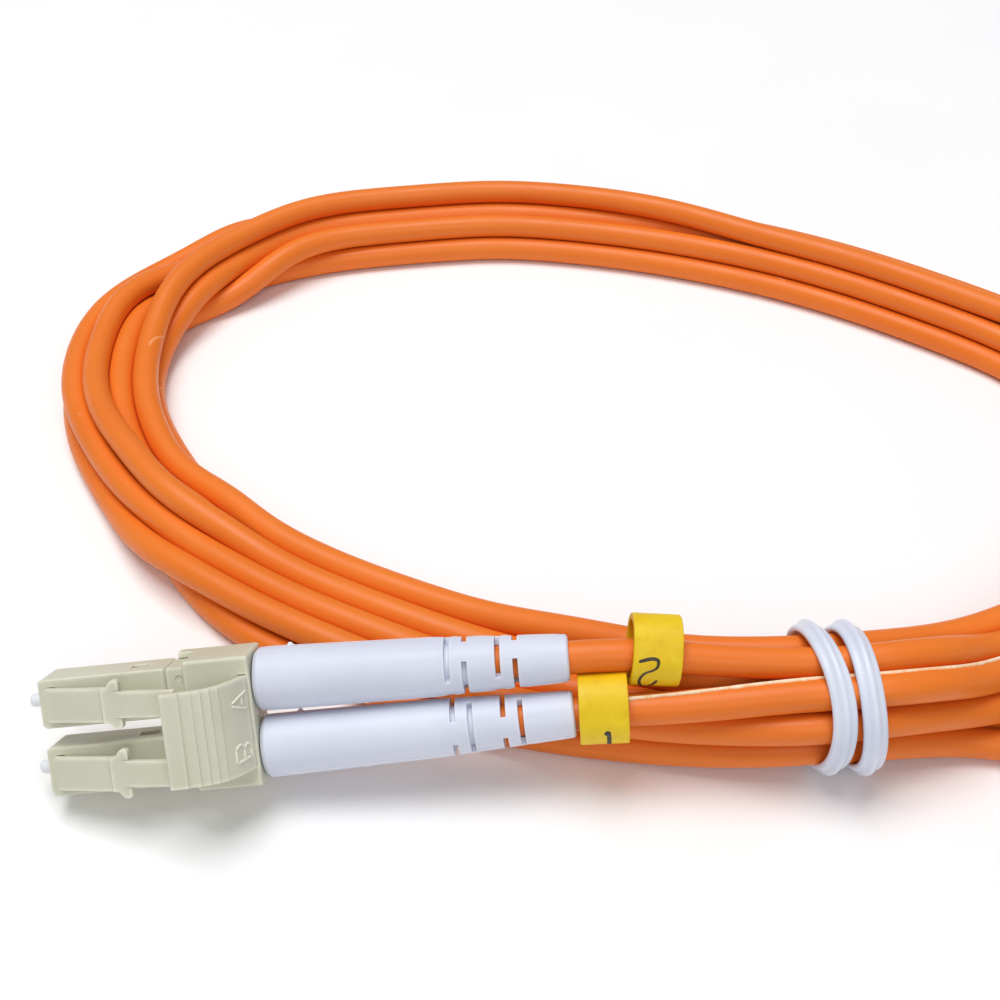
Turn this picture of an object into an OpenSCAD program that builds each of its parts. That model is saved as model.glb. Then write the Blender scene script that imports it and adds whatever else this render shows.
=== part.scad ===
// Duplex fibre optic patch cord: two small-form-factor push-pull plugs at each
// end, held in a clip with a flexible release trigger, and two round jacketed
// leads wound together into a flat oval coil that a wire tie holds.
//
// Plug frame: X runs from the nose to the boot, Y across the pair, Z towards
// the latches. Plug A sits at +Y and plug B at -Y.

/* [Plug] */
// Width and height of one plug housing
housing_w = 4.5; // [4.4:0.05:4.6]
// Distance between the two ferrule axes
pitch = 6.25; // [6.2:0.05:6.3]
// Length of the housing from its nose to the rear body
housing_len = 11.6; // [11.4:0.1:11.8]
// Diameter of the ceramic ferrule
ferrule_d = 1.25; // [1.2:0.01:1.3]
// How far the ferrule stands out of the nose
ferrule_out = 1.55; // [1.4:0.05:2]
// Width of the latch where it leaves the nose
latch_root_w = 3.05; // [2.8:0.05:3.3]
// Width of the latch lever
lever_w = 2.35; // [2:0.05:2.6]
// Width over the two latch shoulders
shoulder_w = 4.4; // [4:0.1:4.5]

/* [Clip and trigger] */
// Overall width of the duplex clip
clip_w = 11.9; // [11.7:0.1:12.2]
// Width of the release trigger
trigger_w = 8.4; // [7.6:0.1:9]
// Height of each grip step on the trigger
step_h = 0.12; // [0.05:0.01:0.16]

/* [Boot] */
// Diameter of the boot at its front
boot_d = 5.7; // [5.4:0.1:5.8]
// Diameter of the boot at its tip
boot_tip_d = 4.2; // [4:0.1:4.4]
// Width of each strain relief slot
slot_w = 0.45; // [0.3:0.05:0.6]

/* [Cord] */
// Outer diameter of each lead's jacket
cord_d = 3; // [2.8:0.1:3]
// Length of a marker sleeve along its lead
marker_len = 4.4; // [4:0.1:4.4]
// Wall of a marker sleeve
marker_wall = 0.65; // [0.5:0.05:0.8]
// Width of the wire tie's ribbon
tie_w = 2.1; // [1.8:0.1:2.2]

/* [Hidden] */

beige = "#cfcdb6";
ceramic = "#e8ebf2";
steel = "#b9bcc0";
white = "#e9ecf5";
orange = "#e8803a";
yellow = "#ecc924";

// ---- placement of the two plug pairs: position and turn of the plug frame
near_at = [-74.9, 7.1, 5.7];
near_turn = [54, -6, 2];
far_at = [74.3, -8.4, 2.85];
far_turn = [0, 0, 164];
// how far each near boot leans inwards behind the clip, in degrees
lean_a = -1.6;
lean_b = 0.6;

module near() translate(near_at) rotate(near_turn) children();
module far() translate(far_at) rotate(far_turn) children();
// s is +1 for plug A and -1 for plug B
module plug(s) translate([0, s * pitch / 2, 0]) children();
// a round solid along the plug's X axis
module rod(x0, x1, r, fn = 48) translate([x0, 0, 0]) rotate([0, 90, 0]) cylinder(r = r, h = x1 - x0, $fn = fn);
// a profile drawn in X and Z, given width w across Y
module across(w) translate([0, w / 2, 0]) rotate([90, 0, 0]) linear_extrude(w) children();

// ---- plug housing: square tube with a chamfered nose
nose_x = -0.4;
housing_x = nose_x + housing_len;
module housing_shape() {
  h = housing_w / 2;
  c = 0.22;
  nose = [[nose_x, -h + c], [nose_x + 0.45, -h], [housing_x, -h], [housing_x, h], [nose_x + 0.45, h], [nose_x, h - c]];
  difference() {
    intersection() {
      across(housing_w) polygon(nose);
      translate([0, 0, -h]) linear_extrude(housing_w) polygon(nose);
    }
    // the sleeve of the mating adapter enters this bore around the ferrule
    rod(-1, 4.1, 1.5);
    rod(4, housing_x + 1, 1.7);
    // side windows that the rear body's barbs snap into
    for (k = [-1, 1]) translate([7.7, k * h - 0.8, -0.6]) cube([1.65, 1.6, 1.2]);
    // seat of the latch root
    translate([0.85, -latch_root_w / 2 + 0.05, h + 0.1]) rotate([-90, 0, 0]) cylinder(r = 0.43, h = latch_root_w - 0.1, $fn = 32);
  }
}

// ---- latch: root, ramp panel, lever and two shoulders
module latch_shape() {
  translate([0.85, -latch_root_w / 2 + 0.15, 2.35]) rotate([-90, 0, 0]) cylinder(r = 0.4, h = latch_root_w - 0.3, $fn = 32);
  across(latch_root_w) polygon([[0.5, 2.42], [0.5, 2.8], [0.8, 3.05], [6.05, 4.75], [6.4, 4.58], [6.4, 4.06], [1.22, 2.48], [0.85, 2.35]]);
  across(lever_w) polygon([[6, 4.58], [6.4, 4.58], [6.62, 4.84], [12.6, 6.4], [13, 6.3], [13, 5.85], [6, 3.95]]);
  half = [for (a = [90:-18:0]) [7.45 + 0.35 * cos(a), shoulder_w / 2 - 0.35 + 0.35 * sin(a)]];
  translate([0, 0, 4.12]) linear_extrude(0.85) polygon(concat(
    [[6.1, -latch_root_w / 2], [6.6, -latch_root_w / 2 - 0.05], [7, -shoulder_w / 2 + 0.12], [7.2, -shoulder_w / 2]],
    [for (i = [0:5]) [half[i][0], -half[i][1]]], [for (i = [5:-1:0]) half[i]],
    [[7.2, shoulder_w / 2], [7, shoulder_w / 2 - 0.12], [6.6, latch_root_w / 2 + 0.05], [6.1, latch_root_w / 2]]));
}

// ---- ferrule with a rounded tip and a thinner pressed-in tail
module ferrule_shape() {
  r = ferrule_d / 2;
  x = nose_x - ferrule_out;
  rotate([0, 90, 0]) rotate_extrude($fn = 48)
    polygon([[0, x], [r - 0.34, x + 0.03], [r - 0.15, x + 0.12], [r - 0.04, x + 0.26], [r, x + 0.44], [r, 3.4], [r - 0.2, 3.4], [r - 0.2, 4.6], [0, 4.6]]);
}

// ---- metal flange that holds the ferrule
module flange_shape() difference() {
  union() {
    rod(3.4, 7.4, 1);
    rod(4.08, 5.3, 1.62, 6);
  }
  rod(3, 4.7, ferrule_d / 2 - 0.2);
  rod(4.6, 8, 0.5);
}

// ---- compression spring, six-sided wire swept along a helix
spring_turns = 5;
function coil_at(a, x0, x1, r) = let (t = a / (360 * spring_turns)) [x0 + t * (x1 - x0), r * cos(a), r * sin(a)];
module spring_shape() {
  n = spring_turns * 14;
  wire = 0.13;
  r = 1.32;
  pts = [for (i = [0:n]) let (a = i * 360 / 14, c = coil_at(a, 5.5, 7.4, r), o = [0, cos(a), sin(a)])
    for (k = [0:5]) c + wire * (cos(60 * k) * o + sin(60 * k) * [1, 0, 0])];
  sweep(pts, n + 1, 6);
}

// ---- tight-buffered fibre inside the plug
module fibre_shape() rod(4.65, 20.8, 0.45, 24);

// ---- rear body: barrel, barbs, square block, neck and crimp barrel
module rear_body_shape() difference() {
  union() {
    rod(7.6, housing_x + 0.2, 1.65);
    for (k = [0, 1]) mirror([0, k, 0]) translate([0, 0, -0.53]) linear_extrude(1.06) polygon([[7.85, 1.3], [7.85, 1.66], [9.15, 2.08], [9.15, 1.3]]);
    // a groove all round shows between the housing and the block
    translate([housing_x, -1.98, -1.98]) cube([0.3, 3.96, 3.96]);
    translate([housing_x + 0.16, -2.2, -2.2]) cube([5.24, 4.4, 4.4]);
    rod(16.5, 18.1, 1.85);
    rod(18, 23.6, 1.3);
  }
  rod(7, 12, 1.1);
  rod(11.9, 24, 0.8, 32);
  // mould mark on the latch side
  translate([12.45, 1.15, 2.15]) cylinder(r = 0.33, h = 1, $fn = 24);
}

// ---- metal crimp sleeve over the barrel
module crimp_sleeve_shape() difference() {
  rod(18.35, 24.4, 1.62);
  rod(18, 25, 1.35);
}

// ---- strain relief boot: long taper with four broken slot rings
boot_x = [18.95, 19.35, 21, 35, 47.1];
module boot_shape(turn = 0) difference() {
  rotate([0, 90, 0]) rotate_extrude($fn = 72) polygon([
    [1.86, boot_x[0]], [boot_d / 2 - 0.35, boot_x[0]], [boot_d / 2, boot_x[1]], [boot_d / 2, boot_x[2]],
    [boot_d / 2 - 0.2, boot_x[3]], [boot_tip_d / 2 + 0.02, boot_x[4] - 0.2], [boot_tip_d / 2 - 0.18, boot_x[4]],
    [1.56, boot_x[4]], [1.56, 24.7], [1.86, 24.7]]);
  for (i = [0:3]) let (x = [36.3, 37.85, 40.8, 42.35][i])
    for (k = [0, 180]) rotate([turn + 90 * (i % 2) + k, 0, 0]) rotate([0, 90, 0])
      translate([0, 0, x - slot_w / 2]) rotate([0, 0, -66]) rotate_extrude(angle = 132, $fn = 72) translate([1.3, 0]) square([2.4, slot_w]);
}

// ---- duplex clip around the two rear bodies
clip_x0 = 13;
clip_x1 = 18.85;
module clip_shape() difference() {
  union() {
    translate([clip_x0, -clip_w / 2, -2.75]) cube([clip_x1 - clip_x0, clip_w, 5.65]);
    // two tabs that hook over the outer edges in front
    for (k = [-1, 1]) translate([11.6, k * (clip_w / 2 - 0.3) - 0.3, -2.75]) cube([1.6, 0.6, 1.3]);
  }
  for (k = [-1, 1]) plug(k) {
    translate([11, -2.25, -2.25]) cube([6.9, 4.5, 4.5]);
    rod(17, 20, 2);
  }
  // open underside between the two plugs
  translate([12, -0.7, -4]) cube([4.6, 1.4, 5.6]);
  // seat of the trigger root
  translate([18.2, -trigger_w / 2 - 0.15, 3.2]) rotate([-90, 0, 0]) cylinder(r = 0.48, h = trigger_w + 0.3, $fn = 32);
}

// ---- release trigger: curved pad with grip steps
module trigger_shape() {
  translate([18.2, -trigger_w / 2, 3.2]) rotate([-90, 0, 0]) cylinder(r = 0.45, h = trigger_w, $fn = 32);
  across(trigger_w) polygon([
    [11.95, 7.55], [12.15, 7.7], [13.6, 7.7 - step_h], [13.6, 7.55 - step_h], [14.7, 7.5 - step_h], [14.7, 7.38 - step_h],
    [15.5, 7.3 - step_h], [15.5, 7.16 - step_h], [16.2, 7 - step_h], [16.24, 6.86 - step_h], [16.86, 6.44 - step_h],
    [16.84, 6.3 - step_h], [17.1, 5.9], [17.7, 5.05], [18.4, 3.6],
    [18.3, 3.2], [17.85, 3.3], [17.2, 4.5], [16.6, 5.45], [15.9, 6.15], [15, 6.55], [13.6, 6.78], [12.1, 6.85], [11.95, 7]]);
}

// ---- the leads
// turn a point of a plug frame into the model's frame
function rx(a, p) = [p[0], p[1] * cos(a) - p[2] * sin(a), p[1] * sin(a) + p[2] * cos(a)];
function ry(a, p) = [p[0] * cos(a) + p[2] * sin(a), p[1], -p[0] * sin(a) + p[2] * cos(a)];
function rz(a, p) = [p[0] * cos(a) - p[1] * sin(a), p[0] * sin(a) + p[1] * cos(a), p[2]];
function put(at, turn, p) = at + rz(turn[2], ry(turn[1], rx(turn[0], p)));
// a point on a boot's own axis, x along the plug, with the boot leaning about its front
function on_boot(at, turn, s, lean, x) = put(at, turn, [19 + (x - 19) * cos(lean), s * pitch / 2 + (x - 19) * sin(lean), 0]);
module leaning(s, lean) translate([19, s * pitch / 2, 0]) rotate([0, 0, lean]) translate([-19, 0, 0]) children();

near_route_2 = concat([for (x = [24.8, 32, 40, 47.2]) on_boot(near_at, near_turn, 1, lean_a, x)],
  [[-23.5, 10.5, 12.6], [-17.5, 10.3, 12.1], [-11.5, 10.2, 11.7], [-5.5, 10.1, 11.6], [0.5, 10.3, 11.4], [6.5, 11.4, 10.8], [12.5, 13.6, 9.2]]);
near_route_1 = concat([for (x = [24.8, 32, 40, 47.2]) on_boot(near_at, near_turn, -1, lean_b, x)],
  [[-23.5, 7, 8.7], [-17.5, 6.9, 9.2], [-11.5, 6.8, 9.8], [-5.5, 6.7, 10.1], [0.5, 6.9, 9.9], [6.5, 8, 9.2], [12.5, 10.2, 7.8]]);
far_route_1 = concat([[-11.5, 10.4, 1.9], [-5.5, 9.8, 2.7], [0.5, 10.6, 2.5], [6.5, 12.1, 1.7], [12.5, 12.3, 1.6], [18, 11.6, 1.8], [24, 9.7, 2.4]],
  [for (x = [47.2, 40, 32, 24.8]) on_boot(far_at, far_turn, -1, 0, x)]);
far_route_2 = concat([[-11.5, 7.4, 2.7], [-5.5, 6.7, 4.1], [0.5, 7.2, 3.9], [6.5, 8.7, 2.3], [12.5, 8.9, 1.6], [17.5, 7.2, 1.7], [22.5, 4.5, 2.3]],
  [for (x = [47.2, 40, 32, 24.8]) on_boot(far_at, far_turn, 1, 0, x)]);

function unit(v) = v / norm(v);
function blend4(a, b, c, d, t) = 0.5 * (2 * b + (c - a) * t + (2 * a - 5 * b + 4 * c - d) * t * t + (3 * b - a - 3 * c + d) * t * t * t);
// open curve through the points, m steps between two of them
function open_curve(p, m) = let (n = len(p), q = concat([2 * p[0] - p[1]], p, [2 * p[n - 1] - p[n - 2]]))
  concat([for (i = [0:n - 2]) for (j = [0:m - 1]) blend4(q[i], q[i + 1], q[i + 2], q[i + 3], j / m)], [p[n - 1]]);
function closed_curve(p, m) = let (n = len(p))
  [for (i = [0:n - 1]) for (j = [0:m - 1]) blend4(p[(i + n - 1) % n], p[i], p[(i + 1) % n], p[(i + 2) % n], j / m)];

// closed solid from rings of k points each; two end caps unless looped
module sweep(pts, rings, k, looped = false) {
  walls = [for (i = [0:rings - (looped ? 1 : 2)]) for (j = [0:k - 1]) let (a = i * k, b = ((i + 1) % rings) * k, j2 = (j + 1) % k)
    each [[a + j, b + j, b + j2], [a + j, b + j2, a + j2]]];
  caps = looped ? [] : [[for (j = [0:k - 1]) j], [for (j = [k - 1:-1:0]) (rings - 1) * k + j]];
  polyhedron(points = pts, faces = concat(walls, caps), convexity = 6);
}

module lead(route) {
  c = open_curve(route, 2);
  n = len(c);
  r = cord_d / 2;
  pts = [for (i = [0:n - 1]) let (
      t = unit(c[min(i + 1, n - 1)] - c[max(i - 1, 0)]),
      u = unit(cross([0, 0, 1], t)),
      v = cross(t, u))
    for (k = [0:7]) c[i] + r * (cos(45 * k) * u + sin(45 * k) * v)];
  sweep(pts, n, 8);
}

// ---- the wound coil: [x, y, width, height, height of its underside]
coil_route = [
  [-81.5, 67, 12, 5.9, 0.1], [-80, 57, 12, 5.9, 0.1], [-76, 48, 12.5, 5.9, 0.1], [-70, 40, 13, 5.8, 0.1],
  [-63.5, 33.5, 14, 5.6, 0.1], [-51.5, 24.5, 16, 5.4, 0.1], [-38.5, 17.5, 16, 5.2, 0.1], [-24.5, 13.5, 14, 6.2, 0.1],
  [-12.5, 10.6, 12, 8.2, 0.6], [-3.5, 10.2, 11.4, 9, 1.2], [5.5, 11.4, 12, 8.4, 0.8], [16.5, 16.4, 12.5, 7, 0.1],
  [29.5, 24.5, 12.5, 6.2, 0.1], [38, 38, 12.5, 6, 0.1], [40.5, 52, 12.5, 6, 0.1], [36, 64, 12.5, 6, 0.1],
  [27, 72.5, 12, 6, 0.1], [16.5, 80.5, 12, 6, 0.1], [5, 87, 12, 6, 0.1], [-7.5, 92.5, 12, 6, 0.1],
  [-21, 96.5, 12, 6, 0.1], [-34.5, 98.5, 12, 6, 0.1], [-48, 97.5, 11.5, 6.4, 0.1], [-60.5, 93.5, 10.5, 7.2, 0.1],
  [-70.5, 86.5, 10.5, 7.2, 0.1], [-78, 77.5, 11.5, 6.4, 0.1]];
module coil_shape() {
  c = closed_curve(coil_route, 3);
  n = len(c);
  sq = function (v) sign(v) * pow(abs(v), 0.75);
  pts = [for (i = [0:n - 1]) let (
      a = c[(i + n - 1) % n], b = c[(i + 1) % n],
      t = unit([b[0] - a[0], b[1] - a[1], 0]),
      u = [t[1], -t[0], 0], w = c[i][2], h = c[i][3])
    for (k = [0:11]) [c[i][0], c[i][1], c[i][4] + h / 2] - w / 2 * sq(cos(30 * k)) * u + [0, 0, h / 2 * sq(sin(30 * k))]];
  sweep(pts, n, 12, true);
}

// ---- marker sleeve: loose oval ring, long across the lead
module marker_shape(up) rotate([0, 90, 0]) linear_extrude(marker_len, center = true) translate([-up, 0]) difference() {
  oval(6.5, 5.6);
  oval(6.5 - 2 * marker_wall, 5.6 - 2 * marker_wall);
}
module oval(a, b) union() {
  for (k = [-1, 1]) translate([k * (a - b) / 2, 0]) circle(d = b, $fn = 48);
  square([a - b, b], center = true);
}

// ---- wire tie: two turns of a ribbon with a wire rib, and its twisted end
tie_at = [-3.8, 9.9, 7.15];
module tie_ring() rotate([0, 90, 0]) rotate_extrude($fn = 72) polygon([
  [5.95, -tie_w / 2], [6.45, -tie_w / 2], [6.6, -0.55], [7.1, -0.3], [7.1, 0.3], [6.6, 0.55], [6.45, tie_w / 2], [5.95, tie_w / 2]]);
module tie_shape() {
  translate(tie_at) rotate([0, 0, 3]) {
    translate([-1.2, 0, 0]) tie_ring();
    translate([1.2, 0, 0]) tie_ring();
    // the two turns join behind the bundle
    translate([-1.5, 4.6, -5]) cube([3, 1.4, 1.4]);
  }
  // twisted end, laid on the surface behind the bundle
  translate([-3.5, 15.6, 1.05]) rotate([0, 90, 12]) cylinder(r = 0.95, h = 12, $fn = 24);
  translate([-3.7, 14, 0.3]) cube([1.6, 2, 1.6]);
}

// ---- nodes
module near_housing_a() color(beige) near() plug(1) housing_shape();
module near_housing_b() color(beige) near() plug(-1) housing_shape();
module near_latch_a() color(beige) near() plug(1) latch_shape();
module near_latch_b() color(beige) near() plug(-1) latch_shape();
module near_ferrule_a() color(ceramic) near() plug(1) ferrule_shape();
module near_ferrule_b() color(ceramic) near() plug(-1) ferrule_shape();
module near_flange_a() color(steel) near() plug(1) flange_shape();
module near_flange_b() color(steel) near() plug(-1) flange_shape();
module near_spring_a() color(steel) near() plug(1) spring_shape();
module near_spring_b() color(steel) near() plug(-1) spring_shape();
module near_fibre_a() color(white) near() plug(1) fibre_shape();
module near_fibre_b() color(white) near() plug(-1) fibre_shape();
module near_rear_body_a() color(beige) near() plug(1) rear_body_shape();
module near_rear_body_b() color(beige) near() plug(-1) rear_body_shape();
module near_crimp_sleeve_a() color(steel) near() plug(1) crimp_sleeve_shape();
module near_crimp_sleeve_b() color(steel) near() plug(-1) crimp_sleeve_shape();
module near_boot_a() color(white) near() leaning(1, lean_a) boot_shape(-44);
module near_boot_b() color(white) near() leaning(-1, lean_b) boot_shape(90);
module near_clip() color(beige) near() clip_shape();
module near_trigger() color(beige) near() trigger_shape();
module near_lead_1() color(orange) lead(near_route_1);
module near_lead_2() color(orange) lead(near_route_2);
module near_marker_1() color(yellow) translate([-25.2, 7, 8.55]) rotate([-32, -4, 0]) marker_shape(0.5);
module near_marker_2() color(yellow) translate([-20.7, 10.4, 12.35]) rotate([-43, 4, 0]) marker_shape(0.6);
module far_housing_a() color(beige) far() plug(1) housing_shape();
module far_housing_b() color(beige) far() plug(-1) housing_shape();
module far_latch_a() color(beige) far() plug(1) latch_shape();
module far_latch_b() color(beige) far() plug(-1) latch_shape();
module far_ferrule_a() color(ceramic) far() plug(1) ferrule_shape();
module far_ferrule_b() color(ceramic) far() plug(-1) ferrule_shape();
module far_flange_a() color(steel) far() plug(1) flange_shape();
module far_flange_b() color(steel) far() plug(-1) flange_shape();
module far_spring_a() color(steel) far() plug(1) spring_shape();
module far_spring_b() color(steel) far() plug(-1) spring_shape();
module far_fibre_a() color(white) far() plug(1) fibre_shape();
module far_fibre_b() color(white) far() plug(-1) fibre_shape();
module far_rear_body_a() color(beige) far() plug(1) rear_body_shape();
module far_rear_body_b() color(beige) far() plug(-1) rear_body_shape();
module far_crimp_sleeve_a() color(steel) far() plug(1) crimp_sleeve_shape();
module far_crimp_sleeve_b() color(steel) far() plug(-1) crimp_sleeve_shape();
module far_boot_a() color(white) far() plug(1) boot_shape(0);
module far_boot_b() color(white) far() plug(-1) boot_shape(20);
module far_clip() color(beige) far() clip_shape();
module far_trigger() color(beige) far() trigger_shape();
module far_lead_1() color(orange) lead(far_route_1);
module far_lead_2() color(orange) lead(far_route_2);
module far_marker_1() color(yellow) far() plug(-1) translate([49.8, -0.1, 0.55]) rotate([0, 0, -3]) marker_shape(0);
module far_marker_2() color(yellow) far() plug(1) translate([49.8, -0.3, 0.55]) rotate([0, 0, -8]) marker_shape(0);
module cord_coil() color(orange) coil_shape();
module wire_tie() color(white) tie_shape();

near_housing_a();
near_housing_b();
near_latch_a();
near_latch_b();
near_ferrule_a();
near_ferrule_b();
near_flange_a();
near_flange_b();
near_spring_a();
near_spring_b();
near_fibre_a();
near_fibre_b();
near_rear_body_a();
near_rear_body_b();
near_crimp_sleeve_a();
near_crimp_sleeve_b();
near_boot_a();
near_boot_b();
near_clip();
near_trigger();
near_lead_1();
near_lead_2();
near_marker_1();
near_marker_2();
far_housing_a();
far_housing_b();
far_latch_a();
far_latch_b();
far_ferrule_a();
far_ferrule_b();
far_flange_a();
far_flange_b();
far_spring_a();
far_spring_b();
far_fibre_a();
far_fibre_b();
far_rear_body_a();
far_rear_body_b();
far_crimp_sleeve_a();
far_crimp_sleeve_b();
far_boot_a();
far_boot_b();
far_clip();
far_trigger();
far_lead_1();
far_lead_2();
far_marker_1();
far_marker_2();
cord_coil();
wire_tie();
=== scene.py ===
import math
import bmesh
import bpy
import numpy as np
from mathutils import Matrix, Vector
from mathutils.bvhtree import BVHTree


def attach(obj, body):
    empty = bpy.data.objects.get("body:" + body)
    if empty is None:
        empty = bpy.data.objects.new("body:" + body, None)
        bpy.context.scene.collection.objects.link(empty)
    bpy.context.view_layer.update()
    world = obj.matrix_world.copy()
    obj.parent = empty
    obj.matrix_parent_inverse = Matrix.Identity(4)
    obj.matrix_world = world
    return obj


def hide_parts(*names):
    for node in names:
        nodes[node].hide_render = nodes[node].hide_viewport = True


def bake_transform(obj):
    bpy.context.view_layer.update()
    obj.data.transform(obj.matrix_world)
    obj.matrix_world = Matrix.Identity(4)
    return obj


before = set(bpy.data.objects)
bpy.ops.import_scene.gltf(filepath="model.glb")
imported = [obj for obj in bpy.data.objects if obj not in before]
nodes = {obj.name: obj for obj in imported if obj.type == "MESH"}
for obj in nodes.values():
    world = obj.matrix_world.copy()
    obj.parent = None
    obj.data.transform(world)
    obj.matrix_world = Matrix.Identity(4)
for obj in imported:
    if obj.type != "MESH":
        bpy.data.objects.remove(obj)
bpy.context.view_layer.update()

MM = 0.001
scene = bpy.context.scene

# ------------------------------------------------------------------ camera
cam_data = bpy.data.cameras.new("view")
cam_data.sensor_width = 36.0
cam_data.lens = 52.2
cam_data.clip_start = 0.01
cam_data.clip_end = 5.0
cam = bpy.data.objects.new("view", cam_data)
scene.collection.objects.link(cam)
cam.location = (-0.0345, -0.0756, 0.111)
cam.rotation_euler = (math.atan2(0.7341, 0.6790), 0.0, 0.0)
scene.camera = cam

# ------------------------------------------------------------------ the two cables, in mm
# middle line of the coil's loop, as in part.scad
COIL = [(-81.5, 67), (-80, 57), (-76, 48), (-70, 40), (-63.5, 33.5), (-51.5, 24.5), (-38.5, 17.5), (-24.5, 13.5),
        (-12.5, 10.6), (-3.5, 10.2), (5.5, 11.4), (16.5, 16.4), (29.5, 24.5), (38, 38), (40.5, 52), (36, 64),
        (27, 72.5), (16.5, 80.5), (5, 87), (-7.5, 92.5), (-21, 96.5), (-34.5, 98.5), (-48, 97.5), (-60.5, 93.5),
        (-70.5, 86.5), (-78, 77.5)]
NEAR_AT, NEAR_TURN = (-74.9, 7.1, 5.7), (54, -6, 2)
FAR_AT, FAR_TURN = (74.3, -8.4, 2.85), (0, 0, 164)
LEAN_A, LEAN_B = -1.6, 0.6
PITCH = 6.25
CABLE = 3.0
TIE = (-3.8, 9.9, 7.15)
TIE_R = 6.05


def turned(turn):
    a, b, c = np.radians(turn)
    rx = np.array([[1, 0, 0], [0, np.cos(a), -np.sin(a)], [0, np.sin(a), np.cos(a)]])
    ry = np.array([[np.cos(b), 0, np.sin(b)], [0, 1, 0], [-np.sin(b), 0, np.cos(b)]])
    rz = np.array([[np.cos(c), -np.sin(c), 0], [np.sin(c), np.cos(c), 0], [0, 0, 1]])
    return rz @ ry @ rx


def plug_point(at, turn, p):
    return turned(turn) @ np.array(p, float) + np.array(at, float)


def on_boot(at, turn, s, lean, x):
    l = np.radians(lean)
    return plug_point(at, turn, (19 + (x - 19) * np.cos(l), s * PITCH / 2 + (x - 19) * np.sin(l), 0))


def catmull(p, m, closed=False):
    p = np.asarray(p, float)
    n = len(p)
    q = np.vstack([p[-1:], p, p[:2]]) if closed else np.vstack([2 * p[0] - p[1], p, 2 * p[-1] - p[-2]])
    out = []
    for i in range(n if closed else n - 1):
        a, b, c, d = q[i], q[i + 1], q[i + 2], q[i + 3]
        for j in range(m):
            t = j / m
            out.append(0.5 * (2 * b + (c - a) * t + (2 * a - 5 * b + 4 * c - d) * t * t + (3 * b - a - 3 * c + d) * t ** 3))
    if not closed:
        out.append(p[-1])
    return np.array(out)


LOOP = catmull(COIL, 40, True)
LOOP_T = np.roll(LOOP, -1, 0) - np.roll(LOOP, 1, 0)
LOOP_T /= np.linalg.norm(LOOP_T, axis=1)[:, None]
LOOP_N = np.stack([LOOP_T[:, 1], -LOOP_T[:, 0]], 1)


def loop_at(s, u, z):
    """A point at station s of the loop, u outwards from its middle line and z up."""
    f = (s % 26) * 40
    i = int(f) % 1040
    t = f - int(f)
    j = (i + 1) % 1040
    b = LOOP[i] * (1 - t) + LOOP[j] * t
    n = LOOP_N[i] * (1 - t) + LOOP_N[j] * t
    n /= np.linalg.norm(n)
    return np.array([b[0] + n[0] * u, b[1] + n[1] * u, z])


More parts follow.
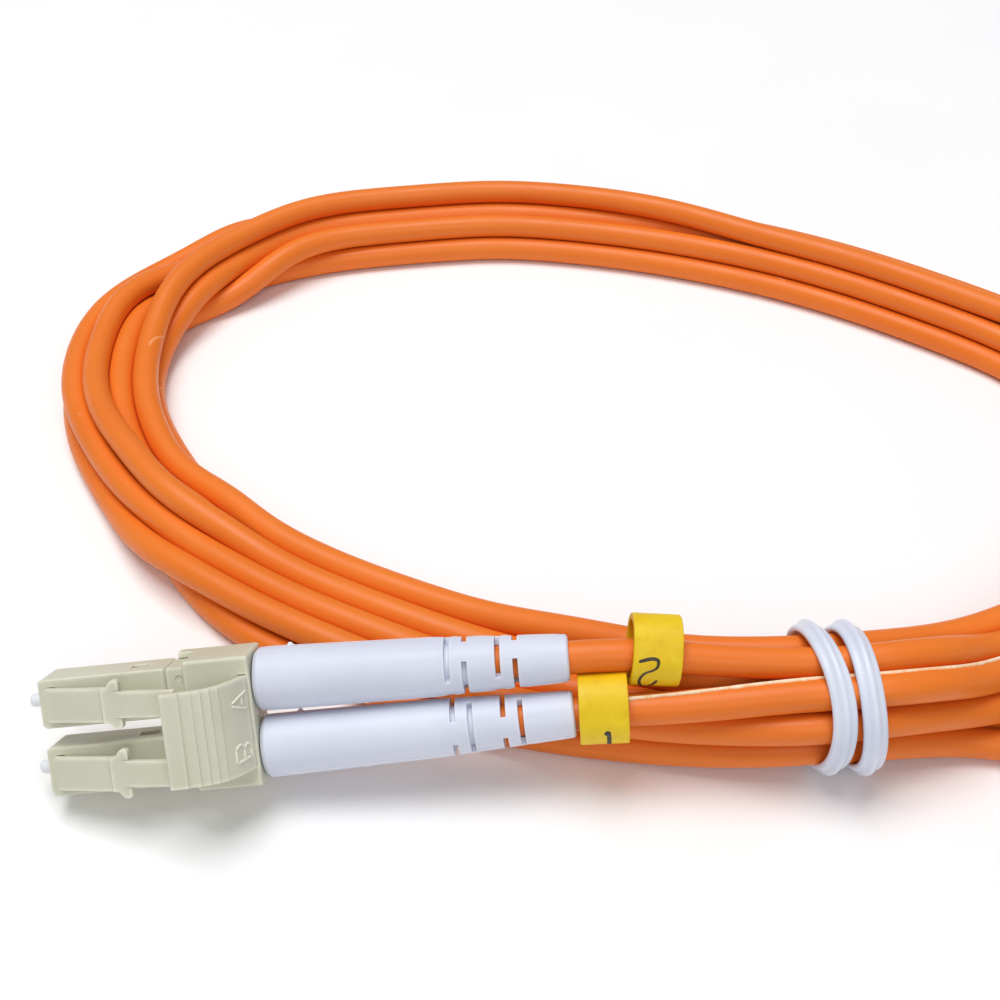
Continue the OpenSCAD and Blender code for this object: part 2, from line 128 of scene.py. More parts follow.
# place of each strand in the bundle, outwards and up, at stations from the tie round to the tie again. A, E, P
# and X are turns one to four of cable 1, and B, C, D and Y those of cable 2.
STRANDS = "ABCDEPXY"
SLOTS = {
    10.6: [(1.4, 6.7), (-1.5, 7.3), (-5.5, 3), (-1.4, 1.5), (-4.4, 6.7), (0.1, 4.1), (3, 4.9), (-2.9, 4.1)],
    11.5: [(1.6, 6.8), (-1.4, 6.8), (-4.6, 1.6), (-1.6, 1.6), (-4.2, 7.1), (0.2, 4.2), (3.0, 2.3), (-3.0, 4.2)],
    12.5: [(1.7, 7.2), (-1.2, 7.0), (-4.8, 1.5), (-1.5, 2.3), (-2.6, 9.6), (0.5, 4.4), (1.2, 1.5), (-3.6, 4.4)],
    13.5: [(1.6, 6.9), (-1.4, 6.7), (-5.0, 1.5), (0.2, 4.2), (0.5, 9.6), (1.8, 1.6), (-1.4, 1.5), (-3.4, 4.1)],
    14.5: [(0.7, 7.2), (-0.8, 4.7), (-5.0, 1.5), (2.2, 4.3), (4.6, 6.4), (1.2, 1.5), (-2.0, 1.5), (-3.6, 4.2)],
    15.5: [(-0.6, 6.8), (0.3, 4.1), (-4.2, 1.5), (3.3, 4.1), (6.2, 3.2), (1.8, 1.5), (-1.2, 1.5), (-2.7, 4.1)],
    16.4: [(-0.9, 6.7), (0.6, 4.1), (-3.9, 1.5), (3.6, 4.1), (5.1, 1.5), (2.1, 1.5), (-0.9, 1.5), (-2.4, 4.1)],
    17.5: [(-0.9, 6.7), (0.6, 4.1), (-3.9, 1.5), (3.6, 4.1), (5.1, 1.5), (2.1, 1.5), (-0.9, 1.5), (-2.4, 4.1)],
    18.5: [(-0.8, 6.7), (0.5, 4.1), (-4, 1.5), (3.5, 4.1), (5, 1.5), (2, 1.5), (-1, 1.5), (-2.5, 4.1)],
    19.5: [(0.4, 7.1), (0.1, 4.1), (-4.4, 1.5), (3.1, 4.1), (4.6, 1.5), (1.6, 1.5), (-1.4, 1.5), (-2.9, 4.1)],
    20.4: [(1, 6.7), (-0.3, 4.1), (-4.8, 1.5), (2.7, 4.1), (4.2, 1.5), (1.2, 1.5), (-1.8, 1.5), (-3.3, 4.1)],
    21.2: [(0.9, 6.7), (-0.5, 4.1), (-5.0, 1.5), (2.5, 4.1), (4.0, 1.5), (1.0, 1.5), (-2.0, 1.5), (-3.5, 4.1)],
    22.6: [(0.5, 6.7), (-0.7, 4.1), (-4.4, 1.5), (2.3, 4.1), (4.4, 1.7), (1.4, 1.5), (-1.5, 1.5), (-3.7, 4.1)],
    23.2: [(-0.1, 7.3), (-1, 4.5), (-3.6, 1.5), (1.9, 4.3), (4.7, 2.9), (2.2, 1.5), (-0.7, 1.5), (-3.9, 4.3)],
    23.7: [(-0.6, 7.2), (-1.4, 4.4), (-2.5, 1.5), (1.4, 4.3), (4.3, 3.8), (3.4, 1.5), (0.4, 1.5), (-4.3, 3.6)],
    24.2: [(-1.2, 7), (-2.7, 4.4), (-1.5, 1.5), (0.3, 4.2), (3.2, 4.2), (4.4, 1.5), (1.4, 1.5), (-4.5, 1.9)],
    24.6: [(-1.9, 7.1), (-3.3, 4.5), (-0.2, 1.8), (0.8, 4.7), (3.6, 4.4), (5.2, 1.5), (2.5, 1.5), (-3.1, 1.5)],
    25.0: [(-2.9, 6.4), (-3.9, 3.7), (0.2, 3.5), (1.7, 5.9), (4.4, 4.4), (5.3, 1.5), (2.4, 1.5), (-2, 1.5)],
    25.5: [(-3.8, 5.6), (-4.4, 2.7), (-0.7, 4.2), (1.9, 5.6), (4.5, 4.3), (4.4, 1.5), (1.4, 1.5), (-1.5, 1.5)],
    26.0: [(-4.5, 5), (-4.7, 2), (-1.5, 4.3), (1.15, 5.5), (4, 4.45), (4.2, 1.5), (1.2, 1.5), (-1.7, 1.5)],
    26.5: [(-4.4, 5), (-4.6, 1.9), (-1.4, 4.4), (1.2, 5.6), (4, 4.5), (4.2, 1.5), (1.3, 1.5), (-1.6, 1.5)],
    27.0: [(-4, 4.9), (-4.5, 1.8), (-1.1, 4.4), (1.3, 6), (3.9, 4.5), (4.2, 1.5), (1.3, 1.5), (-1.6, 1.5)],
    27.8: [(-3.5, 4.8), (-4.5, 1.7), (-0.7, 4.2), (1, 6.6), (3.2, 4.4), (4.2, 1.5), (1.2, 1.5), (-1.7, 1.5)],
    28.5: [(-3.3, 4.5), (-4.6, 1.5), (-0.35, 4.1), (0.6, 6.9), (3.1, 4.4), (4.2, 1.5), (1.3, 1.5), (-1.6, 1.5)],
    29.2: [(-2.9, 4.4), (-4.4, 1.5), (-0.2, 4.2), (1.1, 6.8), (3.1, 4.6), (5.1, 2.9), (2.6, 1.5), (-0.5, 1.5)],
    29.9: [(-3.5, 4.5), (-4.2, 1.5), (-1.3, 2.3), (-0.2, 5.3), (2.5, 4.4), (5.2, 4.3), (4.6, 1.5), (1.5, 1.5)],
    30.7: [(-4.4, 4.2), (-3.2, 1.5), (-0.1, 1.5), (-1.4, 4.2), (1.6, 4.2), (4.6, 4.2), (6.2, 1.5), (3.1, 1.5)],
    32.0: [(-5.3, 4.9), (-4.4, 1.9), (-1.4, 1.5), (-2.3, 4.3), (0.7, 4.3), (3.8, 4.2), (5.2, 1.5), (2.0, 1.5)],
    32.8: [(-3.6, 7.2), (-4.4, 3.4), (-1.7, 1.8), (-1.7, 4.9), (1.25, 4.6), (4.1, 4.8), (4.8, 1.6), (1.6, 1.6)],
    33.5: [(-2.1, 9), (-4.2, 5), (-2, 2.3), (-1.2, 6.3), (1.3, 4.9), (4.1, 5.7), (4, 2.1), (1.1, 1.9)],
    34.3: [(-2.7, 9.7), (-4.1, 6.2), (-2.4, 3.2), (-0.8, 7.6), (1.3, 5.4), (4.1, 7.3), (3.5, 3.5), (0.8, 2.4)],
    35.0: [(-2.9, 10), (-4.1, 6.9), (-2.5, 3.8), (-0.6, 8.2), (1.2, 5.8), (4.4, 8.2), (3.7, 4.3), (0.7, 2.8)],
}
TURNS = {1: "AEPX", 2: "BCDY"}
NEAR_ROUTE = {
    1: [(-23.5, 7, 8.8), (-17.5, 7, 9.5), (-11.5, 7.1, 10.2), (-5.5, 7.4, 10.9), (0.5, 7.8, 11.1), (5, 8.7, 10.5), (8, 10.2, 9.4)],
    2: [(-23.5, 10.5, 12.6), (-17.5, 10.3, 12.1), (-11.5, 10.2, 11.8), (-5.5, 10.3, 11.8), (0.5, 10.6, 12), (5, 11.6, 11.5), (8, 13.2, 10.2)],
}
FAR_ROUTE = {
    1: [(6.5, 12.1, 1.7), (12.5, 12.3, 1.6), (18, 11.6, 1.8), (24, 9.7, 2.4)],
    2: [(6.5, 8.7, 2.3), (12.5, 8.9, 1.6), (17.5, 7.2, 1.7), (22.5, 4.5, 2.3)],
}


def cable_targets(c):
    """Where cable c should run: out of its near boot, four turns of the coil, into its far boot."""
    s, lean = (1, LEAN_A) if c == 2 else (-1, LEAN_B)
    pts = [on_boot(NEAR_AT, NEAR_TURN, s, lean, x) for x in (24.8, 30, 36, 41, 45, 48.5)]
    pts += [np.array(p, float) for p in NEAR_ROUTE[c]]
    for name in TURNS[c]:
        i = STRANDS.index(name)
        for q in sorted(SLOTS):
            u, z = SLOTS[q][i]
            pts.append(loop_at(q, u, z))
    pts += [np.array(p, float) for p in FAR_ROUTE[3 - c]]
    s = 1 if c == 1 else -1
    pts += [on_boot(FAR_AT, FAR_TURN, s, 0, x) for x in (48.5, 45, 41, 36, 30, 24.8)]
    return pts


def resample(p, step):
    d = np.r_[0, np.cumsum(np.linalg.norm(np.diff(p, axis=0), axis=1))]
    n = int(round(d[-1] / step))
    t = np.linspace(0, d[-1], n + 1)
    return np.stack([np.interp(t, d, p[:, k]) for k in range(3)], 1)


def closest(p1, q1, p2, q2):
    d1, d2, r = q1 - p1, q2 - p2, p1 - p2
    a = (d1 * d1).sum(1); e = (d2 * d2).sum(1); f = (d2 * r).sum(1); c = (d1 * r).sum(1); b = (d1 * d2).sum(1)
    den = a * e - b * b
    s = np.where(den > 1e-6 * a * e, np.clip((b * f - c * e) / np.maximum(den, 1e-9), 0, 1), 0.5)
    t = np.clip((b * s + f) / e, 0, 1)
    s = np.clip((b * t - c) / a, 0, 1)
    return s, t, (p1 + d1 * s[:, None]) - (p2 + d2 * t[:, None])


def near_pairs(x, seg, cab, w, reach):
    g = ((x[seg] + x[seg + 1]) / 2).astype(np.float32)
    out_i, out_j = [], []
    for k in range(0, len(g), 256):
        d2 = ((g[k:k + 256, None, :] - g[None, :, :]) ** 2).sum(2)
        i, j = np.where(d2 < reach * reach)
        i = i + k
        m = j > i
        out_i.append(i[m]); out_j.append(j[m])
    i, j = np.concatenate(out_i), np.concatenate(out_j)
    m = ~((cab[seg[i]] == cab[seg[j]]) & (j - i < 6))
    i, j = seg[i[m]], seg[j[m]]
    m = (w[i] + w[j] + w[i + 1] + w[j + 1]) > 0
    return i[m], j[m]


def capsule_push(x, a, b, r):
    ab = b - a
    t = np.clip(((x - a) @ ab) / (ab @ ab), 0, 1)
    v = x - (a + t[:, None] * ab)
    d = np.linalg.norm(v, axis=1)
    m = d < r
    x[m] += v[m] / np.maximum(d[m], 1e-6)[:, None] * (r - d[m])[:, None]


def settle(steps=300, step=2.0):
    """Lets the two cables settle: they keep their length, bend evenly, rest on the floor and on each other, and
    go round the boots and through the tie. It's all arithmetic on the points, and comes out the same each time."""
    T = [resample(catmull(cable_targets(c), 12), step) for c in (1, 2)]
    n1 = len(T[0])
    tgt = np.vstack(T)
    x = tgt.copy()
    N = len(x)
    cab = np.r_[np.zeros(n1, int), np.ones(N - n1, int)]
    along = np.concatenate([np.r_[0, np.cumsum(np.linalg.norm(np.diff(t, axis=0), axis=1))] for t in T])
    total = np.array([along[n1 - 1], along[-1]])[cab]
    w = np.where((along < 24.3) | (along > total - 24.3), 0.0, 1.0)
    seg = np.array([i for i in range(N - 1) if cab[i] == cab[i + 1]])
    rest = np.linalg.norm(x[seg + 1] - x[seg], axis=1)
    solids = []
    for at, turn, leans in ((NEAR_AT, NEAR_TURN, (LEAN_A, LEAN_B)), (FAR_AT, FAR_TURN, (0, 0))):
        for s, lean in zip((1, -1), leans):
            for x0, x1, r in ((19, 32, 2.85), (32, 40, 2.6), (40, 47.1, 2.3)):
                solids.append((on_boot(at, turn, s, lean, x0), on_boot(at, turn, s, lean, x1), r + CABLE / 2 + 0.05))
    for y in (-3.1, 0, 3.1):
        solids.append((plug_point(NEAR_AT, NEAR_TURN, (13.5, y, 0)), plug_point(NEAR_AT, NEAR_TURN, (19, y, 0)), 2.9 + CABLE / 2))
    loose = (w > 0) & (along >= 60) & (along <= total - 60)
    tie_c = np.array(TIE[1:])
    ii = np.array([i for i in range(2, N - 2) if cab[i - 2] == cab[i + 2]])
    for it in range(steps):
        f = it / steps
        k = 0.06 if f < 0.4 else 0.02 if f < 0.8 else 0.0
        x += (k * w)[:, None] * (tgt - x)
        b = np.zeros_like(x)
        b[ii] = (-x[ii - 2] + 4 * x[ii - 1] - 6 * x[ii] + 4 * x[ii + 1] - x[ii + 2]) / 16
        x += b * (0.8 * w)[:, None]
        if it % 6 == 0:
            I, J = near_pairs(x, seg, cab, w, CABLE + step + 0.8)
        for sub in range(4):
            for h in (0, 1):
                e = seg[h::2]
                v = x[e + 1] - x[e]
                d = np.linalg.norm(v, axis=1)
                ws = w[e] + w[e + 1]
                g = np.where(ws > 0, (d - rest[h::2]) / np.maximum(d * ws, 1e-6), 0)[:, None] * v
                x[e] += g * w[e][:, None]
                x[e + 1] -= g * w[e + 1][:, None]
            s, t, v = closest(x[I], x[I + 1], x[J], x[J + 1])
            dist = np.linalg.norm(v, axis=1)
            m = dist < CABLE
            if m.any():
                v, dist, s, t, A, B = v[m], dist[m], s[m], t[m], I[m], J[m]
                nrm = v / np.maximum(dist, 1e-6)[:, None]
                W = (1 - s) ** 2 * w[A] + s ** 2 * w[A + 1] + (1 - t) ** 2 * w[B] + t ** 2 * w[B + 1] + 1e-9
                lam = np.minimum(CABLE - dist, 0.5) / W
                acc = np.zeros_like(x); cnt = np.zeros(N)
                for idx, wt, sg in ((A, 1 - s, 1), (A + 1, s, 1), (B, 1 - t, -1), (B + 1, t, -1)):
                    np.add.at(acc, idx, (sg * lam * wt * w[idx])[:, None] * nrm)
                    np.add.at(cnt, idx, wt)
                mv = acc / np.maximum(cnt, 1)[:, None]
                l = np.linalg.norm(mv, axis=1)
                x += mv * np.minimum(1, 0.4 / np.maximum(l, 1e-9))[:, None]
            x[:, 2] = np.where((x[:, 2] < CABLE / 2) & (w > 0), CABLE / 2, x[:, 2])
            q = (np.abs(x[:, 0] - TIE[0]) < 2.6) & (x[:, 1] < 50) & (w > 0)
            y = x[q]
            v = y[:, 1:] - tie_c
            rr = np.linalg.norm(v, axis=1)
            lim = TIE_R - CABLE / 2
            o = rr > lim
            y[o, 1:] = tie_c + v[o] / rr[o][:, None] * lim
            x[q] = y
        y = x[loose]
        for a_, b_, r_ in solids:
            capsule_push(y, a_, b_, r_)
        x[loose] = y
    return x[:n1], x[n1:]


def eased(r, least=14.5, passes=60):
    """Rounds the few places where a route still bends too tightly, most where the bend is tightest."""
    r = r.copy()
    near = np.exp(-np.linspace(-2, 2, 15) ** 2)
    for _ in range(passes):
        a, b, c = r[:-6], r[3:-3], r[6:]
        area = np.linalg.norm(np.cross(b - a, c - b), axis=1) / 2
        bend = 4 * area / (np.linalg.norm(b - a, axis=1) * np.linalg.norm(c - b, axis=1) * np.linalg.norm(c - a, axis=1))
        over = np.zeros(len(r))
        over[3:-3] = np.clip(bend * least - 1, 0, 0.5)
        over = np.clip(np.convolve(over, near, "same"), 0, 1)
        over[:30] = over[-30:] = 0
        r[1:-1] += (0.4 * over[1:-1])[:, None] * ((r[:-2] + r[2:]) / 2 - r[1:-1])
    return r


# ------------------------------------------------------------------ helpers
def new_object(name, verts, faces, material=None, smooth=True, uvs=None):
    me = bpy.data.meshes.new(name)
    me.from_pydata([tuple(v) for v in verts], [], faces)
    if uvs is not None:
        layer = me.uv_layers.new(name="UVMap")
        layer.data.foreach_set("uv", np.asarray(uvs, float).ravel())
    me.validate()
    me.update()
    if smooth:
        me.shade_smooth()
    ob = bpy.data.objects.new(name, me)
    scene.collection.objects.link(ob)
    if material:
        me.materials.append(material)
    return ob


def frames(p):
    """Tangents and a frame carried along p without twist."""
    t = np.gradient(p, axis=0)
    t /= np.linalg.norm(t, axis=1)[:, None]
    up = np.array([0, 0, 1.0])
    n = up - (up @ t[0]) * t[0]
    n /= np.linalg.norm(n)
    N = [n]
    for i in range(1, len(p)):
        n = N[-1] - (N[-1] @ t[i]) * t[i]
        N.append(n / np.linalg.norm(n))
    N = np.array(N)
    return t, N, np.cross(t, N)


def tube(name, p, r, material, sides=24, caps=True):
    """A swept round tube through points p in metres, with U round it and V along it."""
    t, n, b = frames(p)
    a = np.linspace(0, 2 * np.pi, sides, endpoint=False)
    ring = np.cos(a)[None, :, None] * n[:, None, :] + np.sin(a)[None, :, None] * b[:, None, :]
    rr = np.broadcast_to(np.asarray(r, float), (len(p),))
    v = (p[:, None, :] + ring * rr[:, None, None]).reshape(-1, 3)
    d = np.r_[0, np.cumsum(np.linalg.norm(np.diff(p, axis=0), axis=1))]
    faces, uvs = [], []
    for i in range(len(p) - 1):
        for k in range(sides):
            k2 = (k + 1) % sides
            faces.append((i * sides + k, i * sides + k2, (i + 1) * sides + k2, (i + 1) * sides + k))
            u0, u1 = k / sides, (k + 1) / sides
            uvs += [(u0, d[i]), (u1, d[i]), (u1, d[i + 1]), (u0, d[i + 1])]
    if caps:
        faces.append(tuple(range(sides))[::-1])
        faces.append(tuple((len(p) - 1) * sides + k for k in range(sides)))
        uvs += [(0, 0)] * (2 * sides)
    return new_object(name, v, faces, material, True, uvs)


# ------------------------------------------------------------------ materials
def srgb(r, g, b):
    def f(c):
        c /= 255
        return c / 12.92 if c <= 0.04045 else ((c + 0.055) / 1.055) ** 2.4
    return f(r), f(g), f(b)


class Mat:
    """A node material with a Principled shader and a few helpers."""

    def __init__(self, name, color, rough=0.5, **sockets):
        self.m = bpy.data.materials.new(name)
        self.m.use_nodes = True
        self.nt = self.m.node_tree
        self.bsdf = self.nt.nodes["Principled BSDF"]
        self.bsdf.inputs["Base Color"].default_value = (*color, 1)
        self.bsdf.inputs["Roughness"].default_value = rough
        for k, v in sockets.items():
            self.bsdf.inputs[k.replace("_", " ")].default_value = v
        self.co = self.nt.nodes.new("ShaderNodeTexCoord")
        self.obj = self.co.outputs["Object"]

    def link(self, a, b):
        self.nt.links.new(a, b)

    def uv(self, sx, sy):
        n = self.nt.nodes.new("ShaderNodeMapping")
        n.inputs["Scale"].default_value = (sx, sy, 1)
        self.link(self.co.outputs["UV"], n.inputs["Vector"])
        return n.outputs["Vector"]

    def scaled(self, sx, sy, sz):
        n = self.nt.nodes.new("ShaderNodeMapping")
        n.inputs["Scale"].default_value = (sx, sy, sz)
        self.link(self.obj, n.inputs["Vector"])
        return n.outputs["Vector"]

    def noise(self, scale, detail=3.0, rough=0.5, vec=None, distortion=0.0):
        n = self.nt.nodes.new("ShaderNodeTexNoise")
        n.inputs["Scale"].default_value = scale
        n.inputs["Detail"].default_value = detail
        n.inputs["Roughness"].default_value = rough
        n.inputs["Distortion"].default_value = distortion
        self.link(vec or self.obj, n.inputs["Vector"])
        return n.outputs["Fac"]

    def voronoi(self, scale, feature="F1", vec=None, out="Distance"):
        n = self.nt.nodes.new("ShaderNodeTexVoronoi")
        n.feature = feature
        n.inputs["Scale"].default_value = scale
        self.link(vec or self.obj, n.inputs["Vector"])
        return n.outputs[out]

    def ramp(self, fac, lo, hi, a=0.0, b=1.0):
        n = self.nt.nodes.new("ShaderNodeMapRange")
        n.clamp = True
        for k, v in (("From Min", lo), ("From Max", hi), ("To Min", a), ("To Max", b)):
            n.inputs[k].default_value = v
        self.link(fac, n.inputs["Value"])
        return n.outputs["Result"]

    def math(self, op, a, b):
        n = self.nt.nodes.new("ShaderNodeMath")
        n.operation = op
        for i, v in enumerate((a, b)):
            if isinstance(v, (int, float)):
                n.inputs[i].default_value = v
            else:
                self.link(v, n.inputs[i])
        return n.outputs[0]

    def mix(self, fac, a, b, blend="MIX"):
        n = self.nt.nodes.new("ShaderNodeMix")
        n.data_type = "RGBA"
        n.blend_type = blend
        for i, v in ((0, fac), (6, a), (7, b)):
            if isinstance(v, (int, float)):
                n.inputs[i].default_value = v
            elif isinstance(v, tuple):
                n.inputs[i].default_value = (*v, 1)
            else:
                self.link(v, n.inputs[i])
        return n.outputs[2]

    def near_surface(self, inside, distance):
        """0 on open faces, rising to 1 along the piece's own outer edges (inside) or in its corners and grooves."""
        n = self.nt.nodes.new("ShaderNodeAmbientOcclusion")
        n.inside = inside
        n.only_local = True
        n.samples = 8
        n.inputs["Distance"].default_value = distance * MM
        return self.ramp(n.outputs["AO"], 0.5, 0.96, 1.0, 0.0)

    def color(self, c):
        self.link(c, self.bsdf.inputs["Base Color"])

    def rough(self, f):
        self.link(f, self.bsdf.inputs["Roughness"])

    def bump(self, *layers):
        """layers of (height, strength, depth in mm)"""
        normal = None
        for h, s, d in layers:
            n = self.nt.nodes.new("ShaderNodeBump")
            n.inputs["Strength"].default_value = s
            n.inputs["Distance"].default_value = d * MM
            self.link(h, n.inputs["Height"])
            if normal is not None:
                self.link(normal, n.inputs["Normal"])
            normal = n.outputs["Normal"]
        self.link(normal, self.bsdf.inputs["Normal"])


def make_jacket():
    k = Mat("jacket_orange", srgb(239, 124, 42), 0.42, Specular_IOR_Level=0.34)
    round_ = 2 * math.pi * CABLE / 2 * MM
    flat = k.uv(round_, 1.0)
    broad = k.ramp(k.noise(42, 3), 0.35, 0.65)
    c = k.mix(broad, srgb(236, 121, 36), srgb(242, 129, 43))
    streak = k.noise(1.0, 3, 0.6, k.uv(34, 9))
    c = k.mix(k.ramp(streak, 0.3, 0.7, 0.0, 0.16), c, srgb(222, 102, 28))
    # hairline scuffs and specks of dust
    level = k.math("ABSOLUTE", k.math("SUBTRACT", k.noise(60, 0, 0.5, flat), 0.5), 0)
    where = k.ramp(k.noise(120, 1, 0.5, flat), 0.62, 0.67)
    scuff = k.math("MULTIPLY", k.ramp(level, 0.0015, 0.005, 1.0, 0.0), where)
    c = k.mix(k.math("MULTIPLY", scuff, 0.45), c, srgb(252, 196, 150))
    dots = k.ramp(k.voronoi(330, "F1", flat), 0.05, 0.09, 1.0, 0.0)
    few = k.ramp(k.noise(260, 1, 0.5, flat), 0.66, 0.70)
    c = k.mix(k.math("MULTIPLY", k.math("MULTIPLY", dots, few), 0.55), c, srgb(250, 205, 165))
    k.color(c)
    k.rough(k.math("ADD", k.ramp(k.noise(210, 3), 0.3, 0.7, 0.35, 0.48), k.math("MULTIPLY", scuff, 0.2)))
    k.bump((streak, 0.30, 0.03), (k.noise(1500, 2), 0.18, 0.012))
    return k.m


def make_beige():
    k = Mat("beige_plastic", srgb(207, 204, 180), 0.42, Specular_IOR_Level=0.45)
    c = k.mix(k.ramp(k.noise(130, 4, 0.55), 0.35, 0.65), srgb(203, 203, 178), srgb(211, 211, 189))
    c = k.mix(k.ramp(k.noise(900, 2), 0.55, 0.8, 0.0, 0.10), c, srgb(188, 184, 156))
    # flow marks along the moulding, and a few dark specks in the resin
    flow = k.noise(1.0, 3, 0.55, k.scaled(70, 420, 420), 0.6)
    c = k.mix(k.ramp(flow, 0.35, 0.7, 0.0, 0.08), c, srgb(222, 220, 202))
    specks = k.ramp(k.voronoi(520), 0.035, 0.06, 1.0, 0.0)
    c = k.mix(k.math("MULTIPLY", specks, k.ramp(k.noise(300, 1), 0.64, 0.68, 0.0, 0.45)), c, srgb(150, 140, 108))
    # painted highlight along the piece's outer edges, broken up by noise, and painted shade in its corners and grooves
    edge = k.math("MULTIPLY", k.near_surface(True, 0.44), k.ramp(k.noise(700, 3, 0.6), 0.3, 0.6, 0.5, 1.0))
    c = k.mix(edge, c, srgb(240, 237, 220))
    # painted shade: a brownish darkening in the corners and grooves
    c = k.mix(k.math("MULTIPLY", k.near_surface(False, 0.45), 0.6), c, srgb(134, 124, 92))
    k.color(c)
    k.rough(k.ramp(k.noise(260, 3), 0.3, 0.7, 0.36, 0.50))
    k.bump((flow, 0.12, 0.03), (k.noise(2600, 2), 0.25, 0.012))
    return k.m


def make_boot():
    k = Mat("boot_white", srgb(229, 232, 245), 0.46, Specular_IOR_Level=0.42)
    c = k.mix(k.ramp(k.noise(90, 3), 0.35, 0.65), srgb(214, 217, 233), srgb(222, 225, 239))
    haze = k.noise(1.0, 3, 0.6, k.scaled(60, 260, 260), 0.4)
    c = k.mix(k.ramp(haze, 0.5, 0.8, 0.0, 0.22), c, srgb(205, 208, 225))
    specks = k.ramp(k.voronoi(420), 0.03, 0.05, 1.0, 0.0)
    c = k.mix(k.math("MULTIPLY", specks, k.ramp(k.noise(240, 1), 0.62, 0.66, 0.0, 0.5)), c, srgb(150, 150, 160))
    # painted highlight along the outer edges and slot rims, broken up by noise
    edge = k.math("MULTIPLY", k.near_surface(True, 0.3), k.ramp(k.noise(600, 3, 0.6), 0.3, 0.6, 0.4, 0.9))
    c = k.mix(edge, c, srgb(240, 242, 250))
    # painted shade: a grey-blue darkening in the corners and grooves
    c = k.mix(k.math("MULTIPLY", k.near_surface(False, 0.4), 0.5), c, srgb(150, 152, 168))
    k.color(c)
    k.rough(k.ramp(k.noise(180, 3), 0.3, 0.7, 0.40, 0.54))
    k.bump((haze, 0.12, 0.04), (k.noise(1900, 2), 0.22, 0.012))
    return k.m


def make_marker():
    k = Mat("marker_yellow", srgb(236, 200, 34), 0.5, Specular_IOR_Level=0.4)
    c = k.mix(k.ramp(k.noise(330, 4, 0.6), 0.35, 0.65), srgb(232, 190, 12), srgb(242, 207, 24))
    c = k.mix(k.ramp(k.noise(1100, 2), 0.55, 0.75, 0.0, 0.22), c, srgb(208, 164, 16))
    k.color(c)
    k.rough(k.ramp(k.noise(400, 2), 0.3, 0.7, 0.42, 0.58))
    k.bump((k.noise(700, 3), 0.25, 0.03), (k.noise(2600, 2), 0.3, 0.012))
    return k.m


def make_tie():
    k = Mat("tie_white", srgb(226, 229, 240), 0.34, Specular_IOR_Level=0.5)
    c = k.mix(k.ramp(k.noise(150, 3), 0.35, 0.65), srgb(219, 225, 242), srgb(230, 235, 248))
    smear = k.noise(1.0, 3, 0.6, k.scaled(900, 130, 130))
    c = k.mix(k.ramp(smear, 0.45, 0.8, 0.0, 0.25), c, srgb(205, 212, 233))
    k.color(c)
    k.rough(k.ramp(k.noise(300, 2), 0.3, 0.7, 0.28, 0.42))
    k.bump((smear, 0.2, 0.03), (k.noise(1600, 2), 0.15, 0.01))
    return k.m


def make_web():
    k = Mat("web_cream", srgb(252, 226, 188), 0.5, Specular_IOR_Level=0.4)
    torn = k.noise(1300, 4, 0.6)
    c = k.mix(k.ramp(torn, 0.4, 0.62), srgb(255, 234, 202), srgb(247, 202, 150))
    k.color(c)
    k.bump((torn, 0.6, 0.06))
    return k.m


def make_ceramic():
    k = Mat("ceramic", srgb(233, 235, 240), 0.22, Specular_IOR_Level=0.6)
    turn = k.noise(1.0, 2, 0.5, k.scaled(2600, 300, 300))
    k.color(k.mix(k.ramp(turn, 0.3, 0.7), srgb(228, 231, 237), srgb(240, 241, 244)))
    k.rough(k.ramp(k.noise(500, 2), 0.3, 0.7, 0.16, 0.28))
    k.bump((turn, 0.1, 0.005))
    return k.m


def make_metal():
    k = Mat("plated_metal", srgb(186, 184, 178), 0.3, Metallic=1.0)
    brushed = k.noise(1.0, 3, 0.6, k.scaled(3200, 260, 260))
    k.color(k.mix(k.ramp(k.noise(220, 3), 0.3, 0.7), srgb(176, 173, 166), srgb(198, 196, 191)))
    k.rough(k.ramp(brushed, 0.3, 0.7, 0.22, 0.42))
    k.bump((brushed, 0.25, 0.006))
    return k.m


def make_steel():
    k = Mat("spring_steel", srgb(150, 152, 156), 0.32, Metallic=1.0)
    k.color(k.mix(k.ramp(k.noise(500, 3), 0.3, 0.7), srgb(136, 138, 142), srgb(166, 168, 171)))
    k.rough(k.ramp(k.noise(1500, 2), 0.3, 0.7, 0.25, 0.42))
    k.bump((k.noise(2400, 2), 0.2, 0.006))
    return k.m


def make_fibre():
    k = Mat("fibre_buffer", srgb(240, 240, 238), 0.4)
    k.color(k.mix(k.ramp(k.noise(700, 3), 0.3, 0.7), srgb(232, 232, 229), srgb(245, 245, 244)))
    k.rough(k.ramp(k.noise(900, 2), 0.3, 0.7, 0.34, 0.46))
    k.bump((k.noise(1800, 2), 0.15, 0.008))
    return k.m


def make_ink():
    k = Mat("ink_dark", srgb(52, 44, 36), 0.5)
    k.color(k.mix(k.ramp(k.noise(1800, 3, 0.6), 0.35, 0.7), srgb(40, 34, 28), srgb(86, 72, 44)))
    k.rough(k.ramp(k.noise(1200, 2), 0.3, 0.7, 0.42, 0.62))
    k.bump((k.noise(2200, 2), 0.3, 0.01))
    return k.m


def make_floor():
    k = Mat("floor", srgb(251, 251, 251), 0.9, Specular_IOR_Level=0.1)
    k.color(k.mix(k.ramp(k.noise(30, 2), 0.3, 0.7), srgb(250, 250, 251), srgb(252, 252, 252)))
    return k.m


jacket, beige, boot_white, yellow, tie_white = make_jacket(), make_beige(), make_boot(), make_marker(), make_tie()
web_cream, ceramic, metal, steel, fibre = make_web(), make_ceramic(), make_metal(), make_steel(), make_fibre()
ink, floor_mat = make_ink(), make_floor()

# ------------------------------------------------------------------ cables
routes = [eased(resample(catmull(r, 4), 1.0)) for r in settle()]


def smoothed(p, n):
    p = p.copy()
    for _ in range(n):
        p[1:-1] += 0.25 * (p[:-2] - 2 * p[1:-1] + p[2:])
    return p


